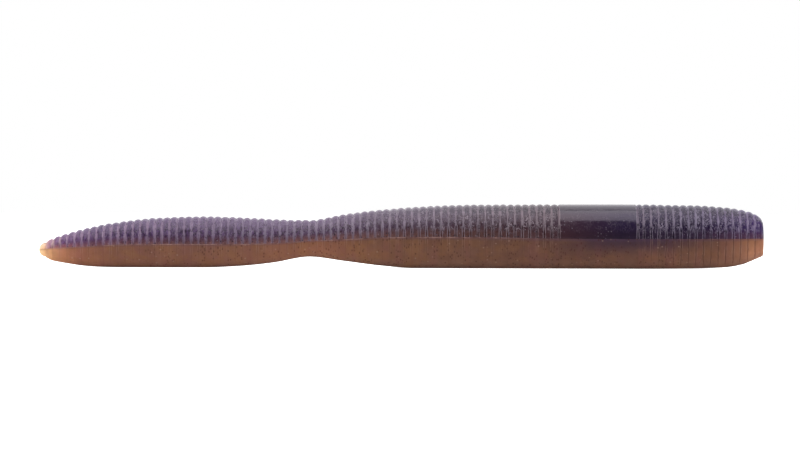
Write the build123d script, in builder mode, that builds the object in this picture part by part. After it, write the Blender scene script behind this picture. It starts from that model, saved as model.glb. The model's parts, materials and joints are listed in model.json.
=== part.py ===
"""Ribbed soft plastic fishing worm, cast as two bonded layers of soft plastisol.

The dark back layer and the brown belly layer meet at one parting surface that runs the
whole length. The worm bends everywhere, so both layers are divided into ten lengths, and
each length turns on the next about a centre on the worm's middle line.

Frame: +X points at the nose, +Z is up, the belly lies on Z = 0 and the origin is under
the middle of the worm's length. A "place" is a distance in front of the tail tip.
"""
from build123d import *
import os

# ---- driving dimensions, millimetres ---------------------------------------------------
LENGTH = 127.0          # tail tip to nose face
RIB_DEPTH = 0.30        # crest of a rib above the grooves beside it
TAIL_RIBS = 70          # ribs from the tail stub to the collar
HEAD_RIBS = 15          # full ribs ahead of the collar
SHORT_RIB = 1.05        # length of the one short rib between them and the collar
COLLAR = (91.03, 104.75)  # rear and front edge of the smooth egg collar
COLLAR_EDGE = 0.3       # length of the slope at each of its edges
NOSE_CAP = (125.28, 126.12, 126.6, 127.0)    # last groove, shoulder, corner and face
TAIL_STUB = 1.24        # radius of the round stub that the tail ends in
STUB_HEIGHT = 3.04      # height of the stub's middle
BELLY_FLAT = 0.45       # flat middle of the belly, as a share of the half width
BELLY_SECTIONS = 37     # sections that the belly is drawn through

# Two lengths part along a ball about the centre that they bend on.
BALL_SHARE = 1.35       # the ball's radius as a share of the half width
BALL_GAP = 0.25         # open gap between the two lengths

# place, crest of the back, parting surface, underside. A row below zero is where the
# belly lies on the ground, which flattens it.
OUTLINE = [
    (0.0, 4.05, 3.10, 1.95),
    (1.24, 4.55, 3.18, 1.64),
    (2.3, 5.00, 3.26, 1.16),
    (4.0, 5.61, 3.37, 0.81),
    (9.0, 7.00, 3.66, 0.15),
    (14.0, 7.92, 3.98, -0.05),
    (20.0, 8.62, 4.10, -0.06),
    (29.0, 8.95, 4.15, 0.03),
    (35.0, 8.82, 4.15, 0.26),
    (41.0, 8.50, 4.28, 0.87),
    (47.5, 8.35, 4.71, 1.92),
    (53.5, 9.40, 5.01, 1.22),
    (60.0, 10.2, 5.38, 0.42),
    (66.0, 10.7, 5.51, -0.03),
    (75.0, 11.12, 5.52, -0.06),
    (91.07, 11.21, 5.31, -0.06),
    (104.8, 11.24, 5.28, -0.04),
    (114.0, 11.14, 5.30, 0.08),
    (120.0, 10.82, 5.32, 0.28),
    (123.0, 10.40, 5.34, 0.75),
    (125.28, 9.78, 5.36, 1.62),
    (126.12, 9.30, 5.36, 2.00),
    (126.6, 8.95, 5.36, 2.13),
    (127.0, 8.20, 5.36, 2.35),
]

# name of each length, and the place of the bend at its rear end
LENGTHS = [
    ("head", 114.0),
    ("neck", 98.05),
    ("collar", 84.05),
    ("fore_body", 71.15),
    ("mid_body", 58.9),
    ("front_waist", 47.3),
    ("rear_waist", 35.7),
    ("tail_root", 24.1),
    ("tail_middle", 12.5),
    ("tail_end", None),
]
BACK, SEAM, BELLY = 1, 2, 3     # columns of the outline


# ---- outline ---------------------------------------------------------------------------
def slope(row, column):
    """Slope of a line at one of its rows, level where the line turns back."""
    rows = OUTLINE[max(row - 1, 0):row + 2]
    rises = [(b[column] - a[column]) / (b[0] - a[0]) for a, b in zip(rows, rows[1:])]
    if rises[0] * rises[-1] <= 0:
        return 0.0
    return 2 * rises[0] * rises[-1] / (rises[0] + rises[-1])


def outline(place, column):
    """Height of the back, the parting surface or the belly, smooth through its rows."""
    row = 0
    while row < len(OUTLINE) - 2 and OUTLINE[row + 1][0] < place:
        row += 1
    start, finish = OUTLINE[row], OUTLINE[row + 1]
    span = finish[0] - start[0]
    t = (place - start[0]) / span
    rest = 1 - t
    return (
        rest * rest * (1 + 2 * t) * start[column]
        + rest * rest * t * span * slope(row, column)
        + t * t * (1 + 2 * rest) * finish[column]
        - t * t * rest * span * slope(row + 1, column)
    )


def half_width(place):
    """The worm is as wide as it is tall."""
    return (outline(place, BACK) - outline(place, BELLY)) / 2


def x_of(place):
    """The worm's X at a distance in front of its tail tip."""
    return place - LENGTH / 2


def section_plane(place):
    """Plane across the worm, with its own x along +Y and its own y along +Z."""
    return Plane(origin=(x_of(place), 0, 0), x_dir=(0, 1, 0), z_dir=(1, 0, 0))


# ---- sections --------------------------------------------------------------------------
def back_section(place, lift=0.0):
    """Ellipse about the parting surface, lifted from the groove towards the crest."""
    seam = outline(place, SEAM)
    drop = RIB_DEPTH - lift
    with BuildSketch(section_plane(place)) as section:
        with Locations((0, seam)):
            Ellipse(half_width(place) - drop, outline(place, BACK) - seam - drop)
    return section.sketch


def belly_section(place):
    """Upright sides, quarter ellipse corners and a flat underside."""
    seam, underside, half = outline(place, SEAM), outline(place, BELLY), half_width(place)
    flat = BELLY_FLAT * half
    corner = (half - flat, seam - underside)
    top = seam + half
    with BuildSketch(section_plane(place)) as section:
        with BuildLine():
            Polyline((-half, seam), (-half, top), (half, top), (half, seam))
            EllipticalCenterArc((flat, seam), *corner, start_angle=270, arc_size=90)
            Line((flat, underside), (-flat, underside))
            EllipticalCenterArc((-flat, seam), *corner, start_angle=180, arc_size=90)
        make_face()
    return section.sketch


# ---- whole layers ----------------------------------------------------------------------
def evenly(rear, front, count):
    """Evenly spaced places, both ends included."""
    return [rear + (front - rear) * index / (count - 1) for index in range(count)]


def add_ribs(rear, front, count):
    """Rounded ribs, each from one groove to the next."""
    grooves = evenly(rear, front, count + 1)
    for groove, following in zip(grooves, grooves[1:]):
        crest = back_section((groove + following) / 2, RIB_DEPTH)
        loft(sections=[back_section(groove), crest, back_section(following)])


def add_stub():
    """The round stub at the very end of the tail."""
    with Locations((x_of(TAIL_STUB), 0, STUB_HEIGHT)):
        Sphere(TAIL_STUB)


# The parting surface is the underside of this block, level across the worm.
with BuildPart() as above_seam:
    with BuildSketch(Plane.XZ):
        with BuildLine():
            seam_line = Spline(*[(x_of(row[0]), row[SEAM]) for row in OUTLINE])
            Polyline(
                seam_line @ 0,
                (x_of(-NOSE_CAP[0]), OUTLINE[0][SEAM]),
                (x_of(-NOSE_CAP[0]), LENGTH),
                (x_of(2 * LENGTH), LENGTH),
                (x_of(2 * LENGTH), OUTLINE[-1][SEAM]),
                seam_line @ 1,
            )
        make_face()
    extrude(amount=LENGTH / 2, both=True)

with BuildPart() as back_layer:
    add_ribs(TAIL_STUB, COLLAR[0], TAIL_RIBS)
    add_ribs(COLLAR[1], COLLAR[1] + SHORT_RIB, 1)
    add_ribs(COLLAR[1] + SHORT_RIB, NOSE_CAP[0], HEAD_RIBS)
    shoulders = (COLLAR[0] + COLLAR_EDGE, COLLAR[1] - COLLAR_EDGE)
    smooth = [back_section(place, RIB_DEPTH) for place in evenly(*shoulders, 3)]
    loft(sections=[back_section(COLLAR[0]), smooth[0]])
    loft(sections=smooth)
    loft(sections=[smooth[-1], back_section(COLLAR[1])])
    cap = [back_section(place, RIB_DEPTH) for place in NOSE_CAP[1:]]
    loft(sections=[back_section(NOSE_CAP[0]), cap[0]])
    loft(sections=cap)
    add_stub()
    add(above_seam.part, mode=Mode.INTERSECT)

with BuildPart() as belly_layer:
    places = evenly(TAIL_STUB, NOSE_CAP[0], BELLY_SECTIONS)
    loft(sections=[belly_section(place) for place in places])
    loft(sections=[belly_section(place) for place in NOSE_CAP])
    add_stub()
    add(above_seam.part, mode=Mode.SUBTRACT)
    split(bisect_by=Plane.XY, keep=Keep.TOP)


# ---- lengths ---------------------------------------------------------------------------
def cut_behind(place):
    """Take away what lies behind a bend, apart from the ball that it turns on."""
    middle = (outline(place, BACK) + outline(place, BELLY)) / 2
    with BuildPart() as waste:
        with Locations((x_of(place), 0, middle)):
            Box(LENGTH, LENGTH, LENGTH, align=(Align.MAX, Align.CENTER, Align.CENTER))
            Sphere(BALL_SHARE * half_width(place) - BALL_GAP / 2, mode=Mode.SUBTRACT)
    return waste.part


def cut_ahead(place):
    """Take away what lies ahead of a bend, with the hollow for the next length's ball."""
    middle = (outline(place, BACK) + outline(place, BELLY)) / 2
    with BuildPart() as waste:
        with Locations((x_of(place), 0, middle)):
            Box(LENGTH, LENGTH, LENGTH, align=(Align.MIN, Align.CENTER, Align.CENTER))
            Sphere(BALL_SHARE * half_width(place) + BALL_GAP / 2)
    return waste.part


os.makedirs("parts", exist_ok=True)
front_bend = None
for name, rear_bend in LENGTHS:
    for side, layer in (("back", back_layer), ("belly", belly_layer)):
        with BuildPart() as piece:
            add(layer.part)
            if front_bend is not None:
                add(cut_ahead(front_bend), mode=Mode.SUBTRACT)
            if rear_bend is not None:
                add(cut_behind(rear_bend), mode=Mode.SUBTRACT)
        node = f"{name}_{side}"
        piece.part.label = node
        export_step(piece.part, f"parts/{node}.step")
    front_bend = rear_bend
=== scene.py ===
"""Looks of a ribbed soft plastic worm, poured as a purple back on a brown belly.

Each layer is skinned with nine closed pieces that meet in the rib grooves.
Lengths are in millimetres until a vertex is placed, and a "place" is a distance in front
of the tail tip.
"""
import json
import math

import bmesh
import bpy
from mathutils import Matrix, Vector, noise

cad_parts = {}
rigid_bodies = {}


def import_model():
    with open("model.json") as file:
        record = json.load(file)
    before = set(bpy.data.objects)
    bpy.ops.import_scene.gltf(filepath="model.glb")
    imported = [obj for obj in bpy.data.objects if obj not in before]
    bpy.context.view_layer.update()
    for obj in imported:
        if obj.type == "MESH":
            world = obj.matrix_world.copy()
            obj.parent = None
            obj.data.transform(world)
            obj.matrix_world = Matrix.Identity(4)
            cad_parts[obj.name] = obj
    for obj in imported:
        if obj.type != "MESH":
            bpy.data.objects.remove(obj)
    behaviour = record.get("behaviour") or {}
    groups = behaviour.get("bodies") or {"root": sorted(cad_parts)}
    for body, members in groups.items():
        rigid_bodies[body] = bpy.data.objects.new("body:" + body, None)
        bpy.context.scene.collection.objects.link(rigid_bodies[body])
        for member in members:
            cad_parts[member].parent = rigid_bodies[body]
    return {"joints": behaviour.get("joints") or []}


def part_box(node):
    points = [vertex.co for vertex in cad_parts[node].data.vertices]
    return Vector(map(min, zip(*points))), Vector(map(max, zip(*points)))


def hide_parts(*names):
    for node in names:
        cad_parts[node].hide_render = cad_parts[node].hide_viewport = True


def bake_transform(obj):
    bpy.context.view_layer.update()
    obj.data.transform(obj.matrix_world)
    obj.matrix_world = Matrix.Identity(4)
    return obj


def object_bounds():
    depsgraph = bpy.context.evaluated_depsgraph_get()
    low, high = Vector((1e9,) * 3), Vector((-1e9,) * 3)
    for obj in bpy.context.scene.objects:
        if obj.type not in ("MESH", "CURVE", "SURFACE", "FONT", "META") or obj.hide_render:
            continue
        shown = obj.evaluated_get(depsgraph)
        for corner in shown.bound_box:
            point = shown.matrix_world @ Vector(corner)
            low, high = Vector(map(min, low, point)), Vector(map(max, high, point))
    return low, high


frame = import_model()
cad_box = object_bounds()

MM = 0.001

# ---- the worm's sizes, as in the CAD model ---------------------------------------------
LENGTH = (cad_box[1].x - cad_box[0].x) / MM
RIB_DEPTH = 0.30
TAIL_RIBS = 70
HEAD_RIBS = 15
SHORT_RIB = 1.05
COLLAR = (91.03, 104.75)
COLLAR_EDGE = 0.3
NOSE_CAP = (125.28, 126.12, 127.0)
TAIL_STUB = 1.24
STUB_HEIGHT = 3.04
BELLY_FLAT = 0.45
FACE_DOME = 0.10        # how far the nose face swells

# place, crest of the back, parting surface, underside
OUTLINE = [
    (0.0, 4.05, 3.10, 1.95),
    (1.24, 4.55, 3.18, 1.64),
    (2.3, 5.00, 3.26, 1.16),
    (4.0, 5.61, 3.37, 0.81),
    (9.0, 7.00, 3.66, 0.15),
    (14.0, 7.92, 3.98, 0.0),
    (20.0, 8.62, 4.10, 0.0),
    (29.0, 8.95, 4.15, 0.03),
    (35.0, 8.82, 4.15, 0.26),
    (41.0, 8.50, 4.28, 0.87),
    (47.5, 8.35, 4.71, 1.92),
    (53.5, 9.40, 5.01, 1.22),
    (60.0, 10.2, 5.38, 0.42),
    (66.0, 10.7, 5.51, 0.0),
    (75.0, 11.12, 5.52, 0.0),
    (91.07, 11.21, 5.31, 0.0),
    (104.8, 11.24, 5.28, 0.0),
    (114.0, 11.14, 5.30, 0.08),
    (120.0, 10.82, 5.32, 0.28),
    (123.0, 10.40, 5.34, 0.75),
    (125.28, 9.78, 5.36, 1.62),
    (126.12, 9.30, 5.36, 2.00),
    (126.6, 8.95, 5.36, 2.13),
    (127.0, 8.20, 5.36, 2.35),
]
BACK, SEAM, BELLY = 1, 2, 3

# ---- how the surface is worked ---------------------------------------------------------
RIB_STEPS = 14          # rings of faces along one rib
BACK_STEPS = 112        # faces round the back
CORNER_STEPS = 40       # faces down each side of the belly
FLAT_STEPS = 12         # faces across the belly's flat
SEAM_LIP = 0.07         # rounding of the belly's edge at the parting line
BELLY_GROOVE = 0.13     # depth of the belly's shallow grooves on the head
GROOVE_WIDTH = 0.16     # half width of those grooves
WANDER = 0.09           # how far a groove strays along the worm
RIPPLE = 0.045          # unevenness of the poured surface

# skin piece, ribs along it, the joint whose two lengths it covers; from the nose to the tail
SKINS = [
    ("head", HEAD_RIBS, "head_sway"),
    ("collar", 0, "neck_lift"),
    ("fore_body", 10, "collar_sway"),
    ("mid_body", 10, "fore_body_lift"),
    ("rear_body", 10, "front_waist_sway"),
    ("waist", 9, "waist_lift"),
    ("tail_root", 9, "tail_root_sway"),
    ("tail", 9, "tail_lift"),
    ("tail_end", 13, "tail_end_sway"),
]


# ---- outline ---------------------------------------------------------------------------
def slope(row, column):
    """Slope of a line at one of its rows, level where the line turns back."""
    rows = OUTLINE[max(row - 1, 0):row + 2]
    rises = [(b[column] - a[column]) / (b[0] - a[0]) for a, b in zip(rows, rows[1:])]
    if rises[0] * rises[-1] <= 0:
        return 0.0
    return 2 * rises[0] * rises[-1] / (rises[0] + rises[-1])


def outline(place, column):
    """Height of the back, the parting surface or the belly, smooth through its rows."""
    row = 0
    while row < len(OUTLINE) - 2 and OUTLINE[row + 1][0] < place:
        row += 1
    start, finish = OUTLINE[row], OUTLINE[row + 1]
    span = finish[0] - start[0]
    t = (place - start[0]) / span
    rest = 1 - t
    return (
        rest * rest * (1 + 2 * t) * start[column]
        + rest * rest * t * span * slope(row, column)
        + t * t * (1 + 2 * rest) * finish[column]
        - t * t * rest * span * slope(row + 1, column)
    )


def smoothstep(low, high, value):
    """0 at low and 1 at high, with a soft start and finish."""
    t = min(max((value - low) / (high - low), 0.0), 1.0)
    return t * t * (3 - 2 * t)


# ---- rings along the worm --------------------------------------------------------------
class Ring:
    """One ring of the skin: its place, its section and how deep in a groove it is."""

    def __init__(self, place, crest=1.0, gap=9.0, size=1.0):
        self.place = place      # along the worm, where its section is taken
        self.x = place          # along the worm, where it lies
        self.crest = crest      # 0 in a groove, 1 on a rib's crest
        self.gap = gap          # distance to the nearest groove
        self.size = size        # share of the section, under 1 on an end face
        self.seam = outline(place, SEAM)
        self.top = outline(place, BACK)
        self.bottom = max(outline(place, BELLY), 0.0)
        self.half = (self.top - self.bottom) / 2
        self.calm = 1.0         # 0 where the skin may not stray, 1 elsewhere
        self.unevenness = 1.0 - 0.85 * smoothstep(0.7, 1.5, gap)    # low on smooth skin


def lobe(t):
    """Height of a rib across its length: an arc from groove to groove."""
    chord, sagitta = 1.295, RIB_DEPTH
    radius = (chord * chord / 4 + sagitta * sagitta) / (2 * sagitta)
    across = chord * (t - 0.5)
    return (math.sqrt(radius * radius - across * across) - radius + sagitta) / sagitta


def rib_rings(rear, front, count):
    """Rings of a ribbed stretch, from its rear groove to its front groove."""
    pitch = (front - rear) / count
    rings = []
    for step in range(count * RIB_STEPS + 1):
        t = step / RIB_STEPS
        share = t - math.floor(t)
        near = min(share, 1 - share) * pitch
        rings.append(Ring(rear + t * pitch, lobe(share), near))
    return rings


def collar_rings():
    """Rings of the smooth collar, which rises from the grooves at both of its ends."""
    rear, front = COLLAR
    shoulder = [0.0, 0.04, 0.1, 0.18, 0.3, 0.45]
    smooth = [rear + 0.7 + (front - rear - 1.4) * step / 56 for step in range(57)]
    places = [rear + s for s in shoulder] + smooth + [front - s for s in shoulder[::-1]]
    rings = []
    for place in places:
        near = min(place - rear, front - place)
        rise = min(near / COLLAR_EDGE, 1.0)
        rings.append(Ring(place, math.sqrt(1 - (1 - rise) ** 2), near))
    return rings


def nose_rings():
    """The smooth cap in front of the last rib, its rounded edge and the flat face."""
    groove, shoulder, face = NOSE_CAP
    rings = []
    for step in range(1, 9):
        t = step / 8
        place = groove + (shoulder - groove) * t
        rings.append(Ring(place, math.sqrt(1 - (1 - t) ** 2), place - groove))
    for step in range(1, 19):
        ring = Ring(shoulder + (face - shoulder) * math.sin(math.pi * step / 36))
        ring.x -= FACE_DOME * (ring.place - shoulder) / (face - shoulder)
        rings.append(ring)
    for step in range(1, 17):
        ring = Ring(face, size=1 - (step / 16) ** 1.3)
        ring.x -= FACE_DOME * ring.size ** 2
        rings.append(ring)
    return rings


def stub_rings():
    """The round stub at the tail's end, from its tip to the notch behind the first rib."""
    rings = []
    for step in range(13):
        angle = math.pi / 2 * step / 12
        radius = TAIL_STUB * math.sin(angle)
        ring = Ring(TAIL_STUB * (1 - math.cos(angle)))
        ring.seam = STUB_HEIGHT + (outline(TAIL_STUB, SEAM) - STUB_HEIGHT) * step / 12
        ring.top = max(STUB_HEIGHT + radius, ring.seam)
        ring.bottom = STUB_HEIGHT - radius
        ring.half = radius
        ring.size = 0.0 if step == 0 else 1.0
        rings.append(ring)
    return rings


# ---- sections --------------------------------------------------------------------------
def ripple(place, across, height):
    """Small unevenness of a hand poured surface, in millimetres along its normal."""
    broad = noise.noise(Vector((place * 0.55, across * 0.45, height * 0.5)))
    fine = noise.noise(Vector((place * 2.3 + 40, across * 0.9, height * 0.9)))
    return RIPPLE * (broad + 0.6 * fine)


def wander(ring, height, side):
    """How far a groove strays along the worm at one height."""
    coarse = noise.noise(Vector((ring.place * 0.8, height * 0.55, 7.0 * side)))
    close = noise.noise(Vector((ring.place * 1.7, height * 1.6, 7.0 * side + 20)))
    body = 0.30 + 0.70 * smoothstep(98, 112, ring.place)
    return WANDER * body * ring.calm * (coarse + 0.7 * close)


def placed(ring, across, height):
    """A vertex of a ring, in metres."""
    side = 1 if across > 0 else -1
    x = ring.x + (wander(ring, height, side) if ring.size == 1.0 else 0.0)
    height = ring.seam + (height - ring.seam) * ring.size
    return Vector((x - LENGTH / 2, across * ring.size, height)) * MM


def back_section(ring):
    """Points over the back, from the worm's left to its right."""
    points = []
    drop = RIB_DEPTH * (1 - ring.crest)
    for step in range(BACK_STEPS + 1):
        angle = math.pi * step / BACK_STEPS
        across = ring.half * math.cos(angle)
        height = ring.seam + (ring.top - ring.seam) * math.sin(angle)
        swell = ripple(ring.place, across, height) * ring.calm * ring.unevenness - drop
        across = max(ring.half + swell, 0.0) * math.cos(angle)
        height = ring.seam + max(ring.top - ring.seam + swell, 0.0) * math.sin(angle)
        points.append((across, height, math.sin(angle)))
    return points


def belly_groove(ring, angle):
    """Depth of the belly's groove at an angle below the seam, deepest on the head."""
    fade = 1 - smoothstep(0.15, 1.1 + 0.5 * smoothstep(105, 118, ring.place), angle)
    depth = BELLY_GROOVE * (0.4 + 0.6 * smoothstep(95, 118, ring.place))
    return depth * fade * math.exp(-((ring.gap / GROOVE_WIDTH) ** 2))


def belly_section(ring):
    """Points under the belly, from the worm's right to its left, with both seam lips."""
    side = []
    flat = BELLY_FLAT * ring.half
    depth = ring.seam - ring.bottom
    lip = min(SEAM_LIP, 0.4 * ring.half, 0.4 * depth)
    for step in range(CORNER_STEPS + 1):
        angle = math.pi / 2 * step / CORNER_STEPS
        across = flat + (ring.half - flat) * math.cos(angle)
        height = ring.seam - depth * math.sin(angle)
        swell = ripple(ring.place, across, height) * ring.calm * math.cos(angle)
        swell -= belly_groove(ring, angle)
        across = flat + max(ring.half - flat + swell, 0.0) * math.cos(angle)
        if step == 0:
            side.append((max(across - lip, 0.0), height, 0.0))
            height -= lip
        elif height > ring.seam - lip:
            height = ring.seam - lip
        side.append((across, height, math.sin(angle)))
    floor = []
    for step in range(1, FLAT_STEPS):
        floor.append((flat * (1 - 2 * step / FLAT_STEPS), ring.bottom, 1.0))
    right = [(-across, height, share) for across, height, share in side]
    return right[:-1] + [(-flat, ring.bottom, 1.0)] + [
        (-across, height, share) for across, height, share in floor
    ] + side[::-1]


# ---- skin pieces -----------------------------------------------------------------------
def skin_mesh(name, rings, section):
    """A closed mesh: a grid wrapped round the rings, closed at the seam and the ends."""
    columns = [section(ring) for ring in rings]
    around = len(columns[0])
    mesh_builder = bmesh.new()
    bmesh.ops.create_grid(
        mesh_builder, x_segments=len(rings) - 1, y_segments=around, size=1.0
    )
    cast_point = mesh_builder.verts.layers.float_vector.new("cast_point")
    cast_shape = mesh_builder.verts.layers.float_vector.new("cast_shape")
    for vertex in mesh_builder.verts:
        along = round((vertex.co.x + 1) / 2 * (len(rings) - 1))
        turn = round((vertex.co.y + 1) / 2 * around) % around
        ring = rings[along]
        across, height, share = columns[along][turn]
        vertex.co = placed(ring, across, height)
        vertex[cast_point] = vertex.co / MM + Vector((LENGTH / 2, 0, 0))
        vertex[cast_shape] = (ring.place / LENGTH, share, ring.gap)
    bmesh.ops.remove_doubles(mesh_builder, verts=mesh_builder.verts, dist=1e-7)
    open_edges = [edge for edge in mesh_builder.edges if edge.is_boundary]
    bmesh.ops.holes_fill(mesh_builder, edges=open_edges, sides=0)
    for edge in open_edges:
        edge.smooth = False
    bmesh.ops.recalc_face_normals(mesh_builder, faces=mesh_builder.faces)
    for face in mesh_builder.faces:
        face.smooth = True
    for edge in mesh_builder.edges:
        if edge.is_manifold and edge.calc_face_angle(0.0) > math.radians(50):
            edge.smooth = False
    mesh = bpy.data.meshes.new(name)
    mesh_builder.to_mesh(mesh)
    mesh_builder.free()
    piece = bpy.data.objects.new(name, mesh)
    bpy.context.scene.collection.objects.link(piece)
    return piece


def skin_rings(name, ribs, front):
    """Rings of one skin piece from its rear end to its front end."""
    pitch = (COLLAR[0] - TAIL_STUB) / TAIL_RIBS
    if name == "collar":
        rings = collar_rings()
    elif name == "head":
        short = COLLAR[1] + SHORT_RIB
        rings = rib_rings(COLLAR[1], short, 1)[:-1]
        rings += rib_rings(short, NOSE_CAP[0], ribs) + nose_rings()
    elif name == "tail_end":
        rings = stub_rings() + rib_rings(TAIL_STUB, front, ribs)
    else:
        rings = rib_rings(front - ribs * pitch, front, ribs)
    rear_end, front_end = rings[0].place, rings[-1].place
    for ring in rings:
        near = min(ring.place - rear_end, front_end - ring.place)
        ring.calm = smoothstep(0.0, 1.2, near)
    return rings


def bend_over(piece, joint):
    """The two lengths that the joint joins, rear one first; the piece's transform goes into its mesh.
    """
    pair = sorted((joint["parent"], joint["child"]), key=lambda body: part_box(body + "_back")[0].x)
    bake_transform(piece)
    return pair


# ---- materials -------------------------------------------------------------------------
def node(tree, kind, **settings):
    made = tree.nodes.new(kind)
    for key, value in settings.items():
        setattr(made, key, value)
    return made


def feed(tree, value, socket):
    """Link an output to a socket, or set the socket to a plain value."""
    if isinstance(value, bpy.types.NodeSocket):
        tree.links.new(value, socket)
    else:
        socket.default_value = value


def math_node(tree, operation, first, second=0.0):
    made = node(tree, "ShaderNodeMath", operation=operation)
    feed(tree, first, made.inputs[0])
    feed(tree, second, made.inputs[1])
    return made.outputs[0]


def scaled(tree, value, factor):
    return math_node(tree, "MULTIPLY", value, factor)


def blended(tree, share, first, second):
    """Plain number between two others."""
    step = math_node(tree, "SUBTRACT", second, first)
    return math_node(tree, "ADD", first, scaled(tree, step, share))


def strayed(tree, value, field, reach):
    """A value that strays up and down with a noise field."""
    shift = scaled(tree, math_node(tree, "SUBTRACT", field, 0.5), reach)
    return math_node(tree, "ADD", value, shift)


def remap(tree, value, low, high, to_low=0.0, to_high=1.0):
    """A value from low to high, turned softly into one from to_low to to_high."""
    made = node(tree, "ShaderNodeMapRange", interpolation_type="SMOOTHSTEP")
    feed(tree, value, made.inputs["Value"])
    made.inputs["From Min"].default_value = low
    made.inputs["From Max"].default_value = high
    made.inputs["To Min"].default_value = to_low
    made.inputs["To Max"].default_value = to_high
    return made.outputs["Result"]


def mixed(tree, share, first, second):
    """Colour between two others."""
    made = node(tree, "ShaderNodeMix", data_type="RGBA")
    feed(tree, share, made.inputs["Factor"])
    feed(tree, first, made.inputs["A"])
    feed(tree, second, made.inputs["B"])
    return made.outputs["Result"]


def ramp(tree, value, stops):
    """Colour ramp; a stop is a position and a colour."""
    made = node(tree, "ShaderNodeValToRGB")
    elements = made.color_ramp.elements
    while len(elements) < len(stops):
        elements.new(0.5)
    for element, (position, colour) in zip(elements, stops):
        element.position = position
        element.color = (*colour, 1.0)
    feed(tree, value, made.inputs["Fac"])
    return made.outputs["Color"]


def cast_coordinates(tree):
    """Rest position in millimetres, the place and height shares, and the gap to a groove."""
    point = node(tree, "ShaderNodeAttribute", attribute_name="cast_point")
    shape = node(tree, "ShaderNodeAttribute", attribute_name="cast_shape")
    split = node(tree, "ShaderNodeSeparateXYZ")
    tree.links.new(shape.outputs["Vector"], split.inputs[0])
    return point.outputs["Vector"], split.outputs["X"], split.outputs["Y"], split.outputs["Z"]


def stretched(tree, point, scale):
    """Coordinates scaled by their own factor on each axis; under 1 draws a pattern out."""
    made = node(tree, "ShaderNodeMapping")
    tree.links.new(point, made.inputs["Vector"])
    made.inputs["Scale"].default_value = scale
    return made.outputs["Vector"]


def noise_at(tree, point, scale, detail=3.0, roughness=0.55, distortion=0.0):
    made = node(tree, "ShaderNodeTexNoise")
    tree.links.new(point, made.inputs["Vector"])
    made.inputs["Scale"].default_value = scale
    made.inputs["Detail"].default_value = detail
    made.inputs["Roughness"].default_value = roughness
    made.inputs["Distortion"].default_value = distortion
    return made.outputs["Fac"]


def flecks(tree, point, scale, size, share):
    """Round specks, 0 between them and 1 at their middles; only a share of cells has one."""
    cells = node(tree, "ShaderNodeTexVoronoi", feature="F1")
    tree.links.new(point, cells.inputs["Vector"])
    cells.inputs["Scale"].default_value = scale
    speck = remap(tree, cells.outputs["Distance"], size, size * 0.35)
    pick = node(tree, "ShaderNodeSeparateColor")
    tree.links.new(cells.outputs["Color"], pick.inputs[0])
    chosen = math_node(tree, "LESS_THAN", pick.outputs[0], share)
    return scaled(tree, speck, chosen)


def bump(tree, height, distance, under=None):
    """Relief of a height field, over the relief beneath it."""
    made = node(tree, "ShaderNodeBump")
    tree.links.new(height, made.inputs["Height"])
    made.inputs["Distance"].default_value = distance
    if under is not None:
        tree.links.new(under, made.inputs["Normal"])
    return made.outputs["Normal"]


def new_material(name):
    material = bpy.data.materials.new(name)
    material.use_nodes = True
    return material, material.node_tree, material.node_tree.nodes["Principled BSDF"]


# Colours along the worm: a share of the length from the tail tip, and the colour there.
PURPLE = [
    (0.0, (0.94, 0.64, 0.38)),
    (0.0095, (0.86, 0.52, 0.33)),
    (0.012, (0.46, 0.23, 0.29)),
    (0.026, (0.220, 0.100, 0.260)),
    (0.08, (0.102, 0.048, 0.155)),
    (0.36, (0.148, 0.086, 0.186)),
    (0.62, (0.096, 0.066, 0.100)),
    (0.70, (0.088, 0.055, 0.075)),
    (0.84, (0.042, 0.026, 0.080)),
    (0.95, (0.048, 0.028, 0.082)),
    (1.0, (0.110, 0.054, 0.220)),
]
NEAR_BLACK = [          # the mottle low down on the back
    (0.0, (0.300, 0.160, 0.140)),
    (0.035, (0.100, 0.040, 0.110)),
    (0.12, (0.028, 0.010, 0.042)),
    (0.45, (0.044, 0.021, 0.038)),
    (0.62, (0.050, 0.021, 0.028)),
    (0.73, (0.038, 0.014, 0.026)),
    (0.80, (0.013, 0.005, 0.030)),
    (0.90, (0.012, 0.005, 0.024)),
    (1.0, (0.030, 0.012, 0.080)),
]
STAIN = [               # the belly's brown, seen through the thin edge of the back
    (0.0, (0.700, 0.400, 0.200)),
    (0.03, (0.420, 0.150, 0.150)),
    (0.06, (0.200, 0.080, 0.100)),
    (0.20, (0.092, 0.037, 0.048)),
    (0.38, (0.200, 0.086, 0.080)),
    (0.47, (0.130, 0.056, 0.048)),
    (0.60, (0.105, 0.044, 0.034)),
    (0.70, (0.080, 0.032, 0.034)),
    (0.73, (0.044, 0.016, 0.024)),
    (0.80, (0.018, 0.009, 0.024)),
    (0.90, (0.030, 0.014, 0.036)),
    (1.0, (0.110, 0.045, 0.080)),
]
LILAC = [               # the pale lines in the grooves, a painted highlight, and the wrinkles
    (0.0, (0.70, 0.48, 0.32)),
    (0.04, (0.48, 0.33, 0.48)),
    (0.30, (0.36, 0.285, 0.40)),
    (0.60, (0.36, 0.29, 0.35)),
    (0.72, (0.36, 0.28, 0.32)),
    (0.90, (0.32, 0.27, 0.38)),
    (1.0, (0.33, 0.25, 0.41)),
]
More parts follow.
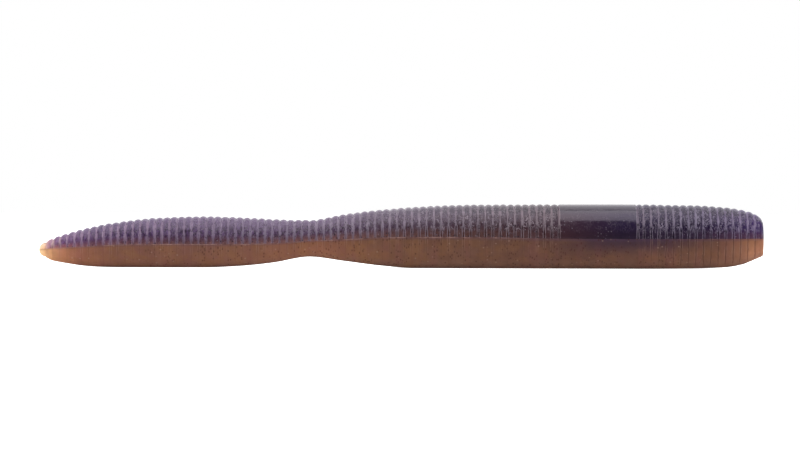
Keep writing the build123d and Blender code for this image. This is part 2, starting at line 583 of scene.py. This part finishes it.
BROWN = [
    (0.0, (0.92, 0.62, 0.34)),
    (0.016, (0.88, 0.46, 0.22)),
    (0.035, (0.62, 0.250, 0.145)),
    (0.06, (0.44, 0.172, 0.110)),
    (0.11, (0.285, 0.122, 0.083)),
    (0.24, (0.282, 0.124, 0.088)),
    (0.31, (0.335, 0.143, 0.090)),
    (0.39, (0.375, 0.150, 0.088)),
    (0.47, (0.240, 0.109, 0.067)),
    (0.60, (0.200, 0.094, 0.064)),
    (0.76, (0.152, 0.069, 0.052)),
    (0.84, (0.195, 0.090, 0.062)),
    (0.93, (0.235, 0.106, 0.068)),
    (0.965, (0.350, 0.155, 0.095)),
    (1.0, (0.70, 0.30, 0.155)),
]


def smooth_skin(tree, along, gap):
    """1 on the smooth collar and on the nose cap, 0 on the ribs."""
    rear, front = COLLAR
    from_rear = remap(tree, along, (rear + 0.10) / LENGTH, (rear + 0.33) / LENGTH)
    from_front = remap(tree, along, (front - 0.01) / LENGTH, (front - 0.24) / LENGTH)
    collar = scaled(tree, from_rear, from_front)
    return math_node(tree, "MAXIMUM", collar, remap(tree, gap, 0.70, 1.10))


def groove_line(tree, gap, point, height, along):
    """1 in a groove, for pale lines painted as a highlight where light catches the groove flanks: one
    broad line high up, the groove's two thin rims low down.
    """
    drips = noise_at(tree, stretched(tree, point, (0.35, 1.0, 0.8)), 1.1, 4.0, 0.62)
    reach = remap(tree, drips, 0.35, 0.65, 0.36, 0.17)
    reach = scaled(tree, reach, remap(tree, along, 0.42, 0.60, 1.22, 1.0))
    broad = remap(tree, math_node(tree, "DIVIDE", gap, reach), 1.0, 0.25)
    rims = scaled(tree, remap(tree, gap, 0.07, 0.16), remap(tree, gap, 0.30, 0.20))
    rims = scaled(tree, rims, remap(tree, drips, 0.36, 0.56, 0.35, 1.0))
    fork = strayed(tree, height, drips, 0.8)
    split_low = scaled(tree, remap(tree, fork, 0.42, 0.22), remap(tree, along, 0.40, 0.56))
    line = blended(tree, split_low, broad, rims)
    line = scaled(tree, line, remap(tree, height, 0.05, 0.50, 0.50, 1.0))
    line = scaled(tree, line, remap(tree, height, 0.99, 0.80, 0.35, 1.0))
    return scaled(tree, line, remap(tree, along, 0.25, 0.50, 0.78, 1.0))


def creases(tree, point, along, height, smooth):
    """Thin wrinkles that run down beside the grooves, most of them near the head."""
    field = noise_at(tree, stretched(tree, point, (1.2, 0.9, 0.42)), 1.7, 2.0, 0.5, 1.1)
    ridge = math_node(tree, "ABSOLUTE", math_node(tree, "SUBTRACT", field, 0.5))
    ridge = remap(tree, ridge, 0.040, 0.010)
    patch = remap(tree, noise_at(tree, point, 0.55, 2.0), 0.38, 0.52)
    patch = math_node(tree, "MAXIMUM", patch, remap(tree, along, 0.81, 0.86, 0.0, 0.8))
    zone = scaled(tree, remap(tree, height, 0.12, 0.34), remap(tree, height, 0.95, 0.82))
    where = scaled(tree, remap(tree, along, 0.05, 0.80, 0.25, 1.0), patch)
    where = scaled(tree, where, remap(tree, smooth, 0.0, 1.0, 1.0, 0.12))
    return scaled(tree, scaled(tree, ridge, zone), where)


def tip_glow(tree, shader, colour, along, reach):
    """Painted glow: the thin tip of the tail emits its own colour, in place of light that comes
    through it.
    """
    feed(tree, colour, shader.inputs["Emission Color"])
    feed(tree, remap(tree, along, reach, 0.008, 0.0, 0.30), shader.inputs["Emission Strength"])


def mottled_purple(tree, point, along, height, smooth, past_tip):
    """Purple with near black patches low down, stained brown along the seam."""
    streaks = noise_at(tree, stretched(tree, point, (2.3, 1.0, 0.9)), 1.9, 4.0, 0.75, 0.5)
    blots = remap(tree, noise_at(tree, point, 0.7, 3.0, 0.6), 0.3, 0.6, 0.6, 1.0)
    patches = scaled(tree, remap(tree, streaks, 0.42, 0.52), blots)
    patches = blended(tree, smooth, patches, 0.85)
    solid = remap(tree, height, 0.66, 0.36, 0.0, 0.75)
    solid = scaled(tree, solid, remap(tree, along, 0.1, 0.6))
    under_head = remap(tree, height, 0.82, 0.55, 0.0, 0.65)
    under_head = scaled(tree, under_head, remap(tree, along, 0.81, 0.86))
    dark = math_node(tree, "MAXIMUM", patches, solid)
    dark = math_node(tree, "MAXIMUM", dark, under_head)
    dark = scaled(tree, scaled(tree, remap(tree, height, 0.92, 0.56), dark), past_tip)
    colour = mixed(tree, dark, ramp(tree, along, PURPLE), ramp(tree, along, NEAR_BLACK))
    stain = ramp(tree, along, STAIN)
    share = remap(tree, past_tip, 0.0, 1.0, 0.0, 0.85)
    share = scaled(tree, share, remap(tree, height, 0.40, 0.06))
    colour = mixed(tree, share, colour, stain)
    lap = remap(tree, strayed(tree, height, streaks, 0.5), 0.10, 0.03)
    lap = scaled(tree, lap, remap(tree, along, 0.62, 0.30, 0.0, 0.38))
    return mixed(tree, lap, colour, mixed(tree, 0.5, stain, (0.46, 0.22, 0.15, 1)))


def shaded_top(tree, along, height, smooth, colour):
    """Painted shade as a darker band below the crest of the back, and a painted highlight as a lighter
    top on the smooth skin.
    """
    painted_shade_band = scaled(tree, remap(tree, height, 0.66, 0.80), remap(tree, height, 0.98, 0.90))
    painted_shade_band = scaled(tree, painted_shade_band, remap(tree, along, 0.35, 0.65, 0.10, 0.55))
    # painted shade: a darker band of colour below the crest of the back
    colour = mixed(tree, painted_shade_band, colour, (0.012, 0.008, 0.018, 1))
    painted_top_highlight = scaled(tree, smooth, remap(tree, height, 0.72, 0.95, 0.0, 0.45))
    # painted highlight: a lighter top on the smooth collar
    return mixed(tree, painted_top_highlight, colour, (0.100, 0.095, 0.108, 1))


def back_soot(tree, point, smooth, past_tip):
    """Dark specks all over the back, few on the smooth skin."""
    soot = flecks(tree, stretched(tree, point, (1.1, 1.0, 0.8)), 2.3, 0.42, 0.34)
    return scaled(tree, scaled(tree, soot, past_tip), remap(tree, smooth, 0.0, 1.0, 0.8, 0.2))


def back_salt(tree, point, height, smooth):
    """Pale specks in swarms, low down only on the smooth skin."""
    swarm = remap(tree, noise_at(tree, point, 0.32, 1.0), 0.44, 0.60, 0.10, 0.42)
    salt = flecks(tree, stretched(tree, point, (1.0, 1.1, 0.9)), 2.2, 0.32, swarm)
    low = remap(tree, height, 0.62, 0.48, 0.05, 0.7)
    return scaled(tree, salt, blended(tree, smooth, 1.0, low))


def back_plastisol():
    """Purple plastisol: pale lilac in the grooves, mottled near black low down."""
    material, tree, shader = new_material("back_plastisol")
    point, along, height, gap = cast_coordinates(tree)
    smooth = smooth_skin(tree, along, gap)
    past_tip = remap(tree, along, 0.005, 0.035)
    lilac = ramp(tree, along, LILAC)
    line = groove_line(tree, gap, point, height, along)
    crease = creases(tree, point, along, height, smooth)
    salt = back_salt(tree, point, height, smooth)
    colour = mottled_purple(tree, point, along, height, smooth, past_tip)
    colour = shaded_top(tree, along, height, smooth, colour)
    # painted highlight: pale lilac lines where the groove flanks catch the light
    colour = mixed(tree, line, colour, lilac)
    colour = mixed(tree, scaled(tree, crease, 0.95), colour, lilac)
    soot = back_soot(tree, point, smooth, past_tip)
    colour = mixed(tree, soot, colour, (0.012, 0.006, 0.018, 1))
    colour = mixed(tree, scaled(tree, salt, 0.40), colour, (0.34, 0.28, 0.36, 1))
    feed(tree, colour, shader.inputs["Base Color"])
    ribbed = remap(tree, noise_at(tree, point, 0.9, 3.0), 0.3, 0.7, 0.24, 0.34)
    feed(tree, math_node(tree, "ADD", ribbed, scaled(tree, smooth, -0.13)), shader.inputs["Roughness"])
    grain = noise_at(tree, stretched(tree, point, (1.0, 1.0, 0.5)), 2.4, 4.0, 0.6, 0.4)
    grain = scaled(tree, grain, remap(tree, smooth, 0.0, 1.0, 1.0, 0.04))
    normal = bump(tree, grain, 0.08 * MM)
    normal = bump(tree, crease, 0.07 * MM, under=normal)
    feed(tree, bump(tree, salt, 0.03 * MM, under=normal), shader.inputs["Normal"])
    shader.inputs["IOR"].default_value = 1.47
    shader.inputs["Specular Tint"].default_value = (0.95, 0.87, 1.0, 1)
    ribbed_head = scaled(tree, remap(tree, along, 0.60, 0.84), remap(tree, smooth, 1.0, 0.0))
    feed(tree, remap(tree, ribbed_head, 0.0, 1.0, 0.5, 0.36), shader.inputs["Specular IOR Level"])
    # painted glow: the tail tip emits its own colour
    tip_glow(tree, shader, colour, along, 0.024)
    return material


def clouded_brown(tree, point, along, height):
    """Brown that is darker at the seam, with painted light making it paler underneath in place of
    light bounced from the floor, and with clouds in the pour.
    """
    upper = remap(tree, height, 0.62, 0.0)
    upper = scaled(tree, upper, remap(tree, along, 0.10, 0.60, 0.16, 0.30))
    colour = mixed(tree, upper, ramp(tree, along, BROWN), (0.055, 0.026, 0.020, 1))
    # painted light: paler towards the bottom, in place of light bounced up from the floor
    under = remap(tree, height, 0.60, 0.98)
    under = scaled(tree, under, remap(tree, along, 0.10, 0.60, 0.20, 0.55))
    colour = mixed(tree, under, colour, (0.340, 0.190, 0.140, 1))
    cloud = remap(tree, noise_at(tree, point, 0.35, 3.0), 0.3, 0.7, 0.0, 0.30)
    colour = mixed(tree, cloud, colour, (0.150, 0.062, 0.028, 1))
    blush = noise_at(tree, stretched(tree, point, (1.0, 0.1, 0.1)), 0.5, 2.0)
    blush = remap(tree, blush, 0.45, 0.62, 0.0, 0.28)
    colour = mixed(tree, blush, colour, (0.25, 0.092, 0.082, 1))
    ochre = noise_at(tree, stretched(tree, point, (0.7, 1.0, 1.0)), 0.42, 3.0, 0.6)
    ochre = remap(tree, ochre, 0.42, 0.66, 0.0, 0.34)
    ochre = scaled(tree, ochre, remap(tree, along, 0.45, 0.60, 1.0, 0.6))
    return mixed(tree, ochre, colour, (0.315, 0.142, 0.050, 1))


def darker_under_collar(tree, along, height, colour):
    """A darker purplish brown on the belly under the collar, most just below the seam."""
    share = scaled(tree, remap(tree, along, 0.69, 0.79), remap(tree, along, 0.96, 0.84))
    share = scaled(tree, share, remap(tree, height, 0.66, 0.10))
    return mixed(tree, scaled(tree, share, 0.88), colour, (0.060, 0.030, 0.050, 1))


def belly_grooved(tree, along, height, gap, patch, colour):
    """The belly's shallow grooves: a painted highlight on their pale rims, and painted shade down in
    them that is clearest on the head.
    """
    head = remap(tree, along, 0.82, 0.90)
    rims = scaled(tree, remap(tree, gap, 0.05, 0.13), remap(tree, gap, 0.28, 0.17))
    reach = blended(tree, head, remap(tree, height, 0.70, 0.08), remap(tree, height, 1.0, 0.40))
    rims = scaled(tree, scaled(tree, rims, reach), patch)
    # painted highlight on the rims of the belly's grooves
    colour = mixed(tree, scaled(tree, rims, 0.24), colour, (0.46, 0.27, 0.21, 1))
    # painted shade: darker colour down in the belly's grooves
    painted_groove_shade = scaled(tree, remap(tree, gap, 0.12, 0.03), remap(tree, head, 0.0, 1.0, 0.10, 0.55))
    painted_groove_shade = scaled(tree, painted_groove_shade, remap(tree, height, 0.97, 0.80))
    return mixed(tree, painted_groove_shade, colour, (0.080, 0.030, 0.022, 1))


def seam_edge(tree, along, height, patch, colour):
    """A purple haze just below the seam, and a painted highlight on the thin ledge of the belly's
    edge, where it catches the light from above.
    """
    haze = remap(tree, height, 0.14, 0.02, 0.0, 0.30)
    colour = mixed(tree, haze, colour, (0.085, 0.050, 0.110, 1))
    ledge_highlight = scaled(tree, remap(tree, height, 0.050, 0.015), patch)
    ledge_highlight = scaled(tree, ledge_highlight, remap(tree, along, 0.55, 0.75, 0.45, 0.0))
    # painted highlight: the seam's ledge lit from above
    return mixed(tree, ledge_highlight, colour, (0.46, 0.28, 0.25, 1))


def belly_specks(tree, point, along, colour):
    """Dark specks in swarms, none at the tail tip and few on the head, and rare pale ones."""
    swarm = remap(tree, noise_at(tree, point, 0.30, 1.0), 0.42, 0.60, 0.12, 0.55)
    soot = flecks(tree, stretched(tree, point, (1.2, 1.0, 0.7)), 2.2, 0.46, swarm)
    soot = scaled(tree, soot, remap(tree, along, 0.05, 0.25, 0.0, 0.62))
    soot = scaled(tree, soot, remap(tree, along, 0.84, 0.94, 1.0, 0.15))
    colour = mixed(tree, soot, colour, (0.070, 0.020, 0.015, 1))
    salt = flecks(tree, stretched(tree, point, (0.9, 1.1, 1.0)), 1.5, 0.30, 0.14)
    return mixed(tree, scaled(tree, salt, 0.26), colour, (0.60, 0.38, 0.28, 1))


def belly_plastisol():
    """Brown plastisol: orange where it thins at both ends, with dark and pale specks."""
    material, tree, shader = new_material("belly_plastisol")
    point, along, height, gap = cast_coordinates(tree)
    patch = remap(tree, noise_at(tree, point, 0.5, 2.0), 0.40, 0.60, 0.15, 1.0)
    colour = clouded_brown(tree, point, along, height)
    colour = darker_under_collar(tree, along, height, colour)
    colour = belly_grooved(tree, along, height, gap, patch, colour)
    colour = seam_edge(tree, along, height, patch, colour)
    colour = belly_specks(tree, point, along, colour)
    feed(tree, colour, shader.inputs["Base Color"])
    wet = noise_at(tree, point, 0.8, 3.0)
    feed(tree, remap(tree, wet, 0.3, 0.7, 0.42, 0.56), shader.inputs["Roughness"])
    grain = noise_at(tree, stretched(tree, point, (1.0, 1.0, 0.6)), 2.0, 4.0, 0.6, 0.3)
    feed(tree, bump(tree, grain, 0.08 * MM), shader.inputs["Normal"])
    shader.inputs["IOR"].default_value = 1.45
    shader.inputs["Specular IOR Level"].default_value = 0.16
    # painted glow: the tail tip emits its own colour
    tip_glow(tree, shader, colour, along, 0.065)
    return material


def floor_material():
    """White sweep that also glows to the eye, so that it reads as a pale ground."""
    material, tree, shader = new_material("white_sweep")
    seen = node(tree, "ShaderNodeLightPath").outputs["Is Camera Ray"]
    paper = noise_at(tree, node(tree, "ShaderNodeTexCoord").outputs["Object"], 400.0)
    feed(tree, remap(tree, paper, 0.3, 0.7, 0.55, 0.65), shader.inputs["Roughness"])
    shader.inputs["Base Color"].default_value = (0.8, 0.8, 0.8, 1)
    shader.inputs["Emission Color"].default_value = (1, 1, 1, 1)
    feed(tree, remap(tree, seen, 0.0, 1.0, 0.18, 1.0), shader.inputs["Emission Strength"])
    return material


# ---- the set ---------------------------------------------------------------------------
def add_floor():
    """A round white floor, wide enough to fill the view."""
    builder = bmesh.new()
    bmesh.ops.create_circle(builder, cap_ends=True, segments=96, radius=1.6)
    mesh = bpy.data.meshes.new("floor")
    builder.to_mesh(mesh)
    builder.free()
    mesh.materials.append(floor_material())
    floor = bpy.data.objects.new("floor", mesh)
    bpy.context.scene.collection.objects.link(floor)


def add_panel(name, place, size, glow):
    """A soft light panel that faces the worm; glow is the brightness of its surface."""
    lamp = bpy.data.lights.new(name, "AREA")
    lamp.shape = "RECTANGLE"
    lamp.size, lamp.size_y = size
    lamp.energy = glow * math.pi * size[0] * size[1]
    panel = bpy.data.objects.new(name, lamp)
    panel.location = place
    panel.rotation_euler = (-Vector(place)).to_track_quat("-Z", "Y").to_euler()
    panel.visible_camera = False
    bpy.context.scene.collection.objects.link(panel)


def add_lights():
    """Soft panels above, behind and at both ends of the worm."""
    add_panel("overhead", (0.0, -0.059, 0.5), (0.9, 0.424), 2.6)
    add_panel("behind", (0.0, 0.523, 0.4235), (1.2, 0.78), 1.06)
    add_panel("left_side", (-0.55, 0.05, 0.12), (0.45, 0.22), 1.5)
    add_panel("right_side", (0.55, 0.05, 0.12), (0.45, 0.22), 1.5)


def add_world():
    """White to the eye, dim grey to the worm, as with a bright sweep in a dark room."""
    world = bpy.data.worlds.new("studio")
    world.use_nodes = True
    bpy.context.scene.world = world
    tree = world.node_tree
    ground = tree.nodes["Background"]
    seen = node(tree, "ShaderNodeLightPath").outputs["Is Camera Ray"]
    ground.inputs["Color"].default_value = (1, 1, 1, 1)
    feed(tree, remap(tree, seen, 0.0, 1.0, 0.16, 1.0), ground.inputs["Strength"])


def add_camera():
    """Level side view from the worm's right, about two thirds of a metre away."""
    distance, aside, aim_height = 0.6733, -0.00019, 0.00752
    elevation, roll = 0.5, 0.175
    data = bpy.data.cameras.new("camera")
    data.lens = 172.64
    data.sensor_width = 36.0
    data.clip_start = 0.01
    camera = bpy.data.objects.new("camera", data)
    tilt = math.radians(elevation)
    camera.location = (
        aside, -distance * math.cos(tilt), aim_height + distance * math.sin(tilt)
    )
    camera.rotation_mode = "XYZ"
    aim = Vector((0, math.cos(tilt), -math.sin(tilt)))
    turn = aim.to_track_quat("-Z", "Y").to_matrix().to_4x4()
    spin = Vector((0, 0, 1))
    camera.rotation_euler = (turn @ Matrix.Rotation(math.radians(roll), 4, spin)).to_euler()
    bpy.context.scene.collection.objects.link(camera)
    bpy.context.scene.camera = camera


# ---- making it -------------------------------------------------------------------------
def make_skins():
    """Both layers' skin pieces from the nose to the tail, each over its own joint."""
    joints = {joint["name"]: joint for joint in frame["joints"]}
    layers = [
        ("back", back_section, back_plastisol()),
        ("belly", belly_section, belly_plastisol()),
    ]
    front = LENGTH
    for name, ribs, joint_name in SKINS:
        rings = skin_rings(name, ribs, front)
        for side, section, material in layers:
            piece = skin_mesh(f"{name}_{side}_skin", rings, section)
            piece.data.materials.append(material)
            pair = bend_over(piece, joints[joint_name])
            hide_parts(*(f"{body}_{side}" for body in pair))
        front = rings[0].place


make_skins()
add_floor()
add_lights()
add_world()
add_camera()
bpy.context.scene.view_settings.view_transform = "Standard"
